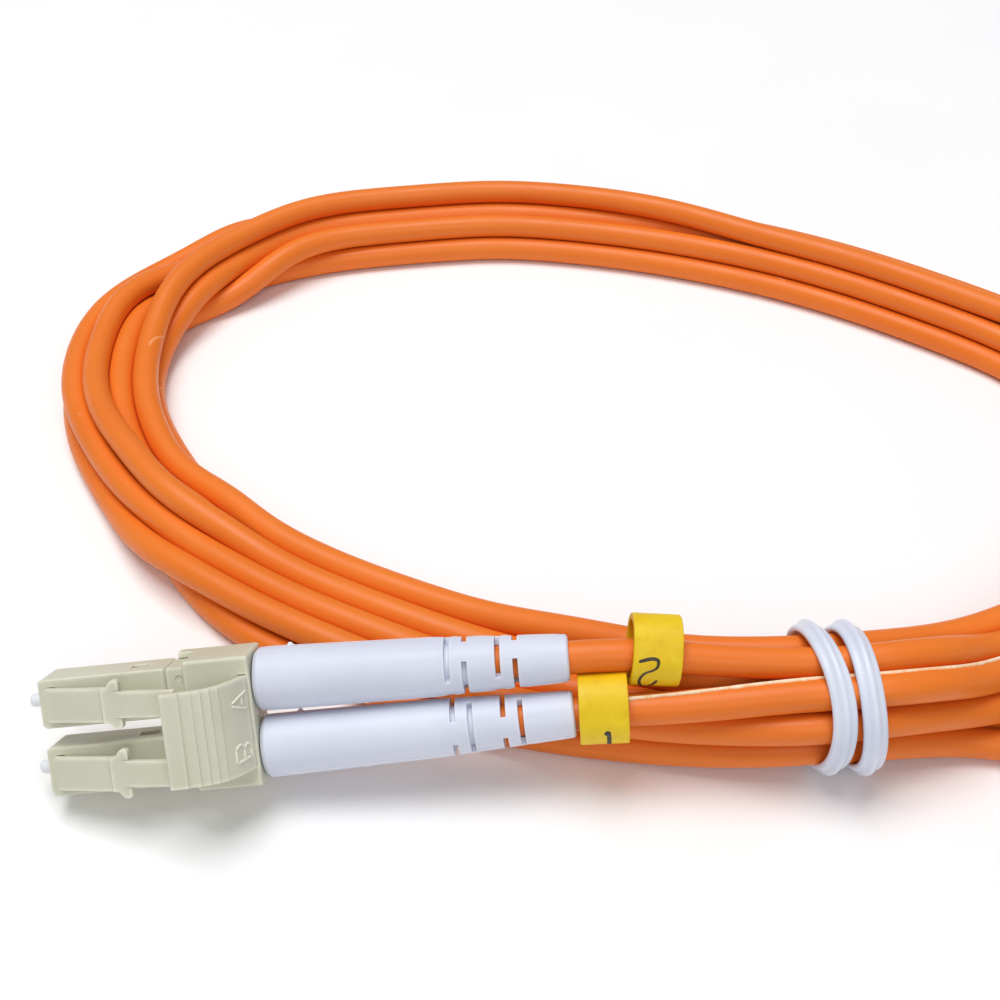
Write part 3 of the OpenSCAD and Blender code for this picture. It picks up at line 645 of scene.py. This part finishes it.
for i, r in enumerate(routes):
    ob = tube(f"cable_{i + 1}", r * MM, CABLE / 2 * MM, jacket)
    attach(ob, "cord")
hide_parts("near_lead_1", "far_lead_2", "cord_coil")
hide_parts("near_lead_2", "far_lead_1")


# ------------------------------------------------------------------ plugs, boots and markers
def body_of(node):
    for n, rec in BODY.items():
        if node in rec:
            return n
    return "cord"


BODY = {}
for e in ("near", "far"):
    BODY[f"{e}_trigger"] = [f"{e}_trigger"]
    for k in "ab":
        BODY[f"{e}_latch_{k}"] = [f"{e}_latch_{k}"]
        BODY[f"{e}_ferrule_{k}"] = [f"{e}_ferrule_{k}", f"{e}_flange_{k}", f"{e}_fibre_{k}"]


def flattened(ob):
    """The mesh of ob with its modifiers applied."""
    dg = bpy.context.evaluated_depsgraph_get()
    me = bpy.data.meshes.new_from_object(ob.evaluated_get(dg), depsgraph=dg)
    ob.modifiers.clear()
    ob.data = me
    return me


def in_plug(e, p):
    """A point of the model in the frame of plug pair e, in mm."""
    at, turn = (NEAR_AT, NEAR_TURN) if e == "near" else (FAR_AT, FAR_TURN)
    return turned(turn).T @ (np.array(p) / MM - np.array(at))


def fine(node, width, material, angle=28, segments=2, wide=None, edge_width=None):
    """The CAD solid again, with its edges rounded as moulded ones are. edge_width can give single edges another
    rounding, up to the size wide."""
    me = nodes[node].data.copy()
    bm = bmesh.new()
    bm.from_mesh(me)
    bmesh.ops.remove_doubles(bm, verts=bm.verts, dist=2e-6)
    bmesh.ops.dissolve_limit(bm, angle_limit=math.radians(0.6), verts=bm.verts, edges=bm.edges)
    if wide:
        layer = bm.edges.layers.float.new("bevel_weight_edge")
        for edge in bm.edges:
            if edge.calc_face_angle(0.0) > math.radians(angle):
                a, b = (in_plug(node.split("_")[0], v.co) for v in edge.verts)
                edge[layer] = (edge_width(a, b) or width) / wide
    bm.to_mesh(me)
    bm.free()
    ob = bpy.data.objects.new(node + "_fine", me)
    scene.collection.objects.link(ob)
    me.materials.clear()
    me.materials.append(material)
    b = ob.modifiers.new("round", "BEVEL")
    b.limit_method = "WEIGHT" if wide else "ANGLE"
    b.angle_limit = math.radians(angle)
    b.width = (wide or width) * MM
    b.segments = segments
    b.profile = 0.55
    b.use_clamp_overlap = False
    b.miter_outer = "MITER_ARC"
    me = flattened(ob)
    me.shade_smooth()
    me.set_sharp_from_angle(angle=math.radians(38))
    w = ob.modifiers.new("normals", "WEIGHTED_NORMAL")
    w.keep_sharp = True
    flattened(ob)
    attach(ob, body_of(node))
    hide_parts(node)
    return ob


def housing_edge(s):
    def pick(a, b):
        if all(abs(abs(p[1] - s * PITCH / 2) - 2.25) < 0.02 and abs(abs(p[2]) - 2.25) < 0.02 for p in (a, b)):
            return 0.26
    return pick


def clip_edge(a, b):
    m = (a + b) / 2
    top = abs(m[2] - 2.9) < 0.02
    back = abs(m[0] - 18.85) < 0.02
    side = abs(abs(m[1]) - 5.95) < 0.02
    front = abs(m[0] - 13) < 0.02
    if math.hypot(m[0] - 18.2, m[2] - 3.2) < 0.52 and abs(m[1]) < 4.5:
        return 0.03
    if (side and (top or back or front)) or (top and front):
        return 0.36


ends = {}
for e in ("near", "far"):
    for k in "ab":
        ends[f"{e}_housing_{k}"] = fine(f"{e}_housing_{k}", 0.12, beige, segments=3, wide=0.26,
                                       edge_width=housing_edge(1 if k == "a" else -1))
        ends[f"{e}_latch_{k}"] = fine(f"{e}_latch_{k}", 0.07, beige)
        ends[f"{e}_ferrule_{k}"] = fine(f"{e}_ferrule_{k}", 0.03, ceramic)
        ends[f"{e}_rear_body_{k}"] = fine(f"{e}_rear_body_{k}", 0.06, beige)
        ends[f"{e}_boot_{k}"] = fine(f"{e}_boot_{k}", 0.07, boot_white)
        nodes[f"{e}_flange_{k}"].data.materials.clear()
        nodes[f"{e}_flange_{k}"].data.materials.append(metal)
        nodes[f"{e}_crimp_sleeve_{k}"].data.materials.clear()
        nodes[f"{e}_crimp_sleeve_{k}"].data.materials.append(metal)
        # the spring, a copy of the CAD spring in spring steel, put in its place
        me = nodes[f"{e}_spring_{k}"].data.copy()
        me.materials.clear()
        me.materials.append(steel)
        spring = bpy.data.objects.new(f"{e}_spring_{k}_fine", me)
        scene.collection.objects.link(spring)
        at, turn = (NEAR_AT, NEAR_TURN) if e == "near" else (FAR_AT, FAR_TURN)
        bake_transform(spring)
        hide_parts(f"{e}_spring_{k}")
        nodes[f"{e}_fibre_{k}"].data.materials.clear()
        nodes[f"{e}_fibre_{k}"].data.materials.append(fibre)
    ends[f"{e}_clip"] = fine(f"{e}_clip", 0.13, beige, segments=3, wide=0.36, edge_width=clip_edge)
    ends[f"{e}_trigger"] = fine(f"{e}_trigger", 0.08, beige)
    for k in "12":
        ends[f"{e}_marker_{k}"] = fine(f"{e}_marker_{k}", 0.14, yellow, segments=3)


# ------------------------------------------------------------------ small raised things
def strip(name, p, nrm, half, height, material, body, sink=0.03, taper=True):
    """A low rounded bead on a surface, through points p with normals nrm, all in mm."""
    p, nrm = np.asarray(p, float), np.asarray(nrm, float)
    t = np.gradient(p, axis=0)
    t /= np.linalg.norm(t, axis=1)[:, None]
    side = np.cross(t, nrm)
    side /= np.linalg.norm(side, axis=1)[:, None]
    sec = [(-1, -sink), (-0.86, 0.45 * height), (-0.45, 0.92 * height), (0, height), (0.45, 0.92 * height),
           (0.86, 0.45 * height), (1, -sink)]
    n, m = len(p), len(sec)
    k = np.ones(n)
    if taper:
        k[0] = k[-1] = 0.55
    half = np.broadcast_to(np.asarray(half, float), (n,)) * k
    v = np.concatenate([[p[i] + side[i] * half[i] * a + nrm[i] * (b if b < 0 else b * k[i]) for a, b in sec] for i in range(n)])
    faces = []
    for i in range(n - 1):
        for j in range(m):
            j2 = (j + 1) % m
            faces.append((i * m + j, i * m + j2, (i + 1) * m + j2, (i + 1) * m + j))
    faces.append(tuple(range(m))[::-1])
    faces.append(tuple((n - 1) * m + j for j in range(m)))
    ob = new_object(name, v * MM, faces, material)
    bm = bmesh.new()
    bm.from_mesh(ob.data)
    bmesh.ops.recalc_face_normals(bm, faces=bm.faces)
    bm.to_mesh(ob.data)
    bm.free()
    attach(ob, body)
    return ob


def joined(name, obs, body):
    """Several small meshes as one piece."""
    me = bpy.data.meshes.new(name)
    bm = bmesh.new()
    for o in obs:
        bm.from_mesh(o.data)
    bm.to_mesh(me)
    bm.free()
    me.materials.append(obs[0].data.materials[0])
    me.shade_smooth()
    ob = bpy.data.objects.new(name, me)
    scene.collection.objects.link(ob)
    for o in obs:
        bpy.data.objects.remove(o)
    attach(ob, body)
    return ob


def tree(ob):
    me = ob.data
    return BVHTree.FromPolygons([v.co.copy() for v in me.vertices], [tuple(q.vertices) for q in me.polygons])


EYE = Vector((-34.5, -75.6, 111))


def seen_at(bvh, x, y):
    """Where the view's ray through (x, y) of the 1000 x 1000 picture meets a solid, in mm."""
    d = Vector((x - 500, 0, 0)) + Vector((0, 0.679, 0.7341)) * (500 - y) + Vector((0, 0.7341, -0.679)) * 1450
    hit = bvh.ray_cast(EYE * MM, d.normalized())
    return (np.array(hit[0]) / MM, np.array(hit[1])) if hit[0] is not None else None


def stroke_seen(bvh, px, m=6):
    pts = [seen_at(bvh, *q) for q in catmull(px, m)]
    pts = [q for q in pts if q]
    return np.array([q[0] for q in pts]), np.array([q[1] for q in pts])


def scad(move, turn):
    m = np.eye(4)
    m[:3, :3] = turned(turn)
    m[:3, 3] = move
    return m


def stroke_round(bvh, m4, up, route, m=6):
    """A stroke on a marker sleeve, route in mm (along, round from the top)."""
    out = []
    for a, c in catmull(route, m):
        f = c / 3.1
        d = m4[:3, :3] @ np.array([0, math.sin(f), math.cos(f)])
        o = m4[:3, :3] @ np.array([a, 0, up]) + m4[:3, 3] + d * 8
        hit = bvh.ray_cast(Vector(o * MM), Vector(-d))
        if hit[0] is not None:
            out.append((np.array(hit[0]) / MM, np.array(hit[1])))
    return np.array([q[0] for q in out]), np.array([q[1] for q in out])


MARKERS = {
    "near_marker_1": (scad((-25.2, 7, 8.55), (-32, -4, 0)), 0.5),
    "near_marker_2": (scad((-20.7, 10.4, 12.35), (-43, 4, 0)), 0.6),
    "far_marker_1": (scad(FAR_AT, FAR_TURN) @ scad((49.8, -PITCH / 2 - 0.1, 0.55), (0, 0, -3)), 0.0),
    "far_marker_2": (scad(FAR_AT, FAR_TURN) @ scad((49.8, PITCH / 2 - 0.3, 0.55), (0, 0, -8)), 0.0),
}
TWO = [(-1.0, 1.0), (-0.75, 1.35), (-0.1, 1.5), (0.6, 1.3), (0.8, 0.8), (0.4, 0.2), (-0.3, -0.4), (-0.85, -1.0), (-0.7, -1.35),
       (0, -1.3), (0.9, -1.2)]
ONE = [(-0.45, 0.85), (0, 1.3), (0.02, 0.4), (0, -0.5), (0.02, -1.3)]
bvh = tree(ends["near_marker_2"])
p, q = stroke_seen(bvh, [(639, 662), (646, 660), (653, 659), (658, 660.5), (658.5, 664), (657, 668), (652, 671), (646, 673),
                         (641, 677), (639, 682), (641, 685.3), (646.5, 685.8), (652, 684.3), (657, 680.5)])
w = 0.15 + 0.03 * np.sin(np.linspace(0, 9, len(p)))
strip("near_number_2", p, q, w, 0.03, ink, "cord", 0.02)
m4, up = MARKERS["near_marker_1"]
p, q = stroke_round(tree(ends["near_marker_1"]), m4, up, [(0.0, -6.7), (0.3, -6.45), (0.36, -7.2), (0.36, -8.2), (0.34, -9.3)])
strip("near_number_1", p, q, 0.22, 0.03, ink, "cord", 0.02)
for n, route in (("far_marker_1", ONE), ("far_marker_2", TWO)):
    m4, up = MARKERS[n]
    p, q = stroke_round(tree(ends[n]), m4, up, route)
    strip("far_number_" + n[-1], p, q, 0.17, 0.03, ink, "cord", 0.02)

# raised letters on the trigger's back slope, the same on the far trigger
bvh = tree(ends["near_trigger"])
LETTERS = {
    "a": [[(231.5, 704.5), (238, 697.5), (245.5, 690)], [(231.5, 706.5), (239, 707.3), (248, 707.6)], [(240.5, 696), (242.2, 706.5)]],
    "b": [[(237.5, 764), (244, 760), (252, 755)], [(236, 750.5), (236.8, 757), (237.5, 764)], [(244.5, 748.5), (245, 754), (245.6, 759)],
          [(236, 750.5), (239.5, 745.5), (243, 745), (244.5, 748.5)], [(244.5, 748.5), (246.5, 743.5), (249.5, 743), (250.8, 747)],
          [(250.8, 747), (251.2, 751), (252, 755)]],
}
near4, far4 = scad(NEAR_AT, NEAR_TURN), scad(FAR_AT, FAR_TURN)
to_far = far4 @ np.linalg.inv(near4)
for letter, strokes in LETTERS.items():
    parts, mirror = [], []
    for i, s in enumerate(strokes):
        p, q = stroke_seen(bvh, s, 5)
        if len(p) < 4:
            continue
        parts.append(strip(f"near_letter_{letter}_{i}", p, q, 0.13, 0.12, beige, "near_trigger", 0.04))
        p2 = p @ to_far[:3, :3].T + to_far[:3, 3]
        mirror.append(strip(f"far_letter_{letter}_{i}", p2, q @ to_far[:3, :3].T, 0.13, 0.12, beige, "far_trigger", 0.04))
    joined(f"near_letter_{letter}", parts, "near_trigger")
    joined(f"far_letter_{letter}", mirror, "far_trigger")

# mould parting lines and the gate mark on the boots
BOOT_R = ([19.35, 21, 35, 46.9], [2.85, 2.85, 2.65, 2.13])
for e, at, turn, leans in (("near", NEAR_AT, NEAR_TURN, (LEAN_A, LEAN_B)), ("far", FAR_AT, FAR_TURN, (0, 0))):
    R = turned(turn)
    for k, s, lean, roll in (("a", 1, leans[0], 160), ("b", -1, leans[1], 140)):
        parts = []
        for alpha in (roll, roll - 180):
            c = np.array([0, math.cos(math.radians(alpha)), math.sin(math.radians(alpha))])
            for x0, x1 in ((19.6, 35.9), (36.7, 37.45), (38.25, 40.4), (41.2, 41.95), (42.75, 46.5)):
                xs = np.linspace(x0, x1, max(4, int((x1 - x0) * 2)))
                p = [on_boot(at, turn, s, lean, x) + R @ c * np.interp(x, *BOOT_R) for x in xs]
                parts.append(strip("seam", p, [R @ c] * len(xs), 0.085, 0.055, boot_white, "cord", 0.03))
        joined(f"{e}_boot_seam_{k}", parts, "cord")
        # sprue mark, a small broken-off nub
        alpha = roll - 168
        c = R @ np.array([0, math.cos(math.radians(alpha)), math.sin(math.radians(alpha))])
        base = on_boot(at, turn, s, lean, 22.2) + c * 2.8
        a1 = R @ np.array([1.0, 0, 0])
        a2 = np.cross(c, a1)
        prof = [(0.42, 0.0), (0.36, 0.10), (0.22, 0.17), (0.19, 0.27), (0.12, 0.33), (0.05, 0.30)]
        v, f = [], []
        for r_, h_ in prof:
            for j in range(14):
                t_ = 2 * math.pi * j / 14
                wob = 1 + 0.08 * math.sin(3 * t_ + h_ * 9)
                v.append(base + c * h_ + (a1 * math.cos(t_) + a2 * math.sin(t_)) * r_ * wob)
        for i in range(len(prof) - 1):
            for j in range(14):
                f.append((i * 14 + j, i * 14 + (j + 1) % 14, (i + 1) * 14 + (j + 1) % 14, (i + 1) * 14 + j))
        f.append(tuple(range(14))[::-1])
        f.append(tuple((len(prof) - 1) * 14 + j for j in range(14)))
        ob = new_object(f"{e}_boot_gate_{k}", np.array(v) * MM, f, boot_white)
        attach(ob, "cord")
        # the first two slot rings are blind: a hollow floor of the boot's own plastic hides the jacket
        l = math.radians(lean)
        e1, e2 = R @ np.array([-math.sin(l), math.cos(l), 0]), R @ np.array([0, 0, 1.0])
        prof = [(-0.33, 1.60), (-0.33, 1.97), (-0.225, 1.95), (-0.17, 1.87), (-0.08, 1.82), (0.08, 1.82), (0.17, 1.87),
                (0.225, 1.95), (0.33, 1.97), (0.33, 1.60)]
        v, f = [], []
        for x in (36.3, 37.85):
            o, n, m = len(v), 56, len(prof)
            for i in range(n):
                t_ = 2 * math.pi * i / n
                for dx, r_ in prof:
                    v.append(on_boot(at, turn, s, lean, x + dx) + (e1 * math.cos(t_) + e2 * math.sin(t_)) * r_)
            for i in range(n):
                for j in range(m):
                    i2, j2 = (i + 1) % n, (j + 1) % m
                    f.append((o + i * m + j, o + i2 * m + j, o + i2 * m + j2, o + i * m + j2))
        ob = new_object(f"{e}_boot_floor_{k}", np.array(v) * MM, f, boot_white)
        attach(ob, "cord")

# ------------------------------------------------------------------ torn web between the two near leads
A_, B_ = routes[0], routes[1]
i0 = int(np.argmin(np.abs(A_[:70, 0] + 23)))
i1 = int(np.argmin(np.abs(A_[:110, 0] - 19)))
line, up_ = [], []
for i in range(i0, i1 + 1):
    j = int(np.argmin(np.linalg.norm(B_[:130] - A_[i], axis=1)))
    d = B_[j] - A_[i]
    t = A_[min(i + 1, len(A_) - 1)] - A_[i - 1]
    t /= np.linalg.norm(t)
    d -= (d @ t) * t
    d /= np.linalg.norm(d)
    view = np.array([0, -0.7341, 0.679])
    view = view - (view @ t) * t - (view @ d) * d
    view /= np.linalg.norm(view)
    a = math.radians(42)
    n = d * math.cos(a) + view * math.sin(a)
    line.append(A_[i] + n * (CABLE / 2 - 0.02))
    up_.append(n)
line = smoothed(np.array(line), 6)
up_ = smoothed(np.array(up_), 6)
up_ /= np.linalg.norm(up_, axis=1)[:, None]
line, up_ = catmull(line, 3), catmull(up_, 3)
s_ = np.linspace(0, 1, len(line))
wave = 0.17 + 0.03 * np.sin(s_ * 61) + 0.02 * np.sin(s_ * 143 + 1)
strip("lead_web", line, up_, wave, 0.26, web_cream, "cord", 0.08)

# ------------------------------------------------------------------ wire tie
UP, IN = np.array([0, 0.679, 0.7341]), np.array([0, 0.7341, -0.679])
TIE_C = np.array([-3.82, 9.9, 7.15])
SECTION = [(-1.05, 0.0), (-1.1, 0.22), (-1.0, 0.46), (-0.74, 0.58), (-0.5, 0.64), (-0.36, 0.84), (-0.17, 1.02), (0, 1.07),
           (0.17, 1.02), (0.36, 0.84), (0.5, 0.64), (0.74, 0.58), (1.0, 0.46), (1.1, 0.22), (1.05, 0.0), (0.5, -0.04), (-0.5, -0.04)]


def loop_point(th, k):
    """Middle line of a loop of the tie at angle th from its top, k = -1 or 1."""
    c, s = math.cos(th), math.sin(th)
    r = 6.02 + 0.12 * max(0.0, c) ** 2 + 0.05 * math.cos(3 * th + k)
    half = 1.3 + 0.35 * c * c
    x = -0.76 * c - 0.8 * s + k * half
    return TIE_C + np.array([x, 0, 0]) + r * (c * UP + s * IN), c * UP + s * IN


def loft(name, rows, material, closed=True):
    n, m = len(rows), len(rows[0])
    v = np.concatenate(rows)
    faces = []
    for i in range(n if closed else n - 1):
        i2 = (i + 1) % n
        for j in range(m):
            j2 = (j + 1) % m
            faces.append((i * m + j, i * m + j2, i2 * m + j2, i2 * m + j))
    if not closed:
        faces.append(tuple(range(m))[::-1])
        faces.append(tuple((n - 1) * m + j for j in range(m)))
    ob = new_object(name, v * MM, faces, material)
    bm = bmesh.new()
    bm.from_mesh(ob.data)
    bmesh.ops.recalc_face_normals(bm, faces=bm.faces)
    bm.to_mesh(ob.data)
    bm.free()
    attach(ob, "cord")
    return ob


for k in (-1, 1):
    N_ = 120
    c = np.array([loop_point(2 * math.pi * i / N_, k)[0] for i in range(N_)])
    out = np.array([loop_point(2 * math.pi * i / N_, k)[1] for i in range(N_)])
    t = np.roll(c, -1, 0) - np.roll(c, 1, 0)
    t /= np.linalg.norm(t, axis=1)[:, None]
    side = np.cross(out, t)
    side /= np.linalg.norm(side, axis=1)[:, None]
    o2 = np.cross(t, side)
    rows = [np.array([c[i] + side[i] * a + o2[i] * b for a, b in SECTION]) for i in range(N_)]
    loft(f"wire_tie_loop_{1 if k < 0 else 2}", rows, tie_white)
# its two ends, twisted together and laid behind the bundle
tail_a = np.array([-3.5, 15.6, 1.15])
tail_d = np.array([math.cos(math.radians(12)), math.sin(math.radians(12)), 0])
for k in (0, 1):
    pts = []
    th = math.radians(128 if k == 0 else 118)
    p0, _ = loop_point(th, -1 if k == 0 else 1)
    for i in range(9):
        u = i / 9
        pts.append(p0 * (1 - u) ** 2 + 2 * u * (1 - u) * np.array([p0[0] - 0.3, 15.6, 2.6]) + u * u * tail_a)
    for i in range(61):
        x = 11.6 * i / 60
        f = math.pi * k + 2 * math.pi * x / 4.2
        pts.append(tail_a + tail_d * x + 0.46 * np.array([-tail_d[1] * math.cos(f), tail_d[0] * math.cos(f), math.sin(f)]))
    pts = smoothed(np.array(pts), 3)
    t, n, b = frames(pts)
    twist = np.linspace(0, 2 * math.pi * 2.7, len(pts)) + k
    rows = []
    for i in range(len(pts)):
        ca, sa = math.cos(twist[i]), math.sin(twist[i])
        e1, e2 = n[i] * ca + b[i] * sa, -n[i] * sa + b[i] * ca
        rows.append(np.array([pts[i] + e1 * 0.62 * math.cos(a_) + e2 * 0.36 * math.sin(a_) * (1 + 0.25 * math.cos(2 * a_))
                              for a_ in np.linspace(0, 2 * math.pi, 14, endpoint=False)]))
    loft(f"wire_tie_end_{k + 1}", rows, tie_white, False)
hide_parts("wire_tie")

# ------------------------------------------------------------------ floor and light
me = bpy.data.meshes.new("floor")
bm = bmesh.new()
bmesh.ops.create_grid(bm, x_segments=8, y_segments=8, size=1.5)
bm.to_mesh(me)
bm.free()
floor = bpy.data.objects.new("floor", me)
scene.collection.objects.link(floor)
me.materials.append(floor_mat)


def area(name, loc, target, size, power, color=(1, 1, 1)):
    d = bpy.data.lights.new(name, "AREA")
    d.shape = "RECTANGLE"
    d.size, d.size_y = size
    d.energy = power
    d.color = color
    o = bpy.data.objects.new(name, d)
    o.location = loc
    o.rotation_euler = (Vector(target) - Vector(loc)).to_track_quat("-Z", "Y").to_euler()
    scene.collection.objects.link(o)
    return o


area("key", (-0.16, 0.14, 0.90), (-0.03, 0.04, 0), (0.62, 0.56), 6.45)
area("fill", (0.12, -0.58, 0.60), (-0.03, 0.04, 0), (0.6, 0.4), 1.55)
world = bpy.data.worlds.new("world")
scene.world = world
world.use_nodes = True
world.node_tree.nodes["Background"].inputs["Color"].default_value = (0.96, 0.98, 1.0, 1)
world.node_tree.nodes["Background"].inputs["Strength"].default_value = 0.26
scene.view_settings.view_transform = "Standard"
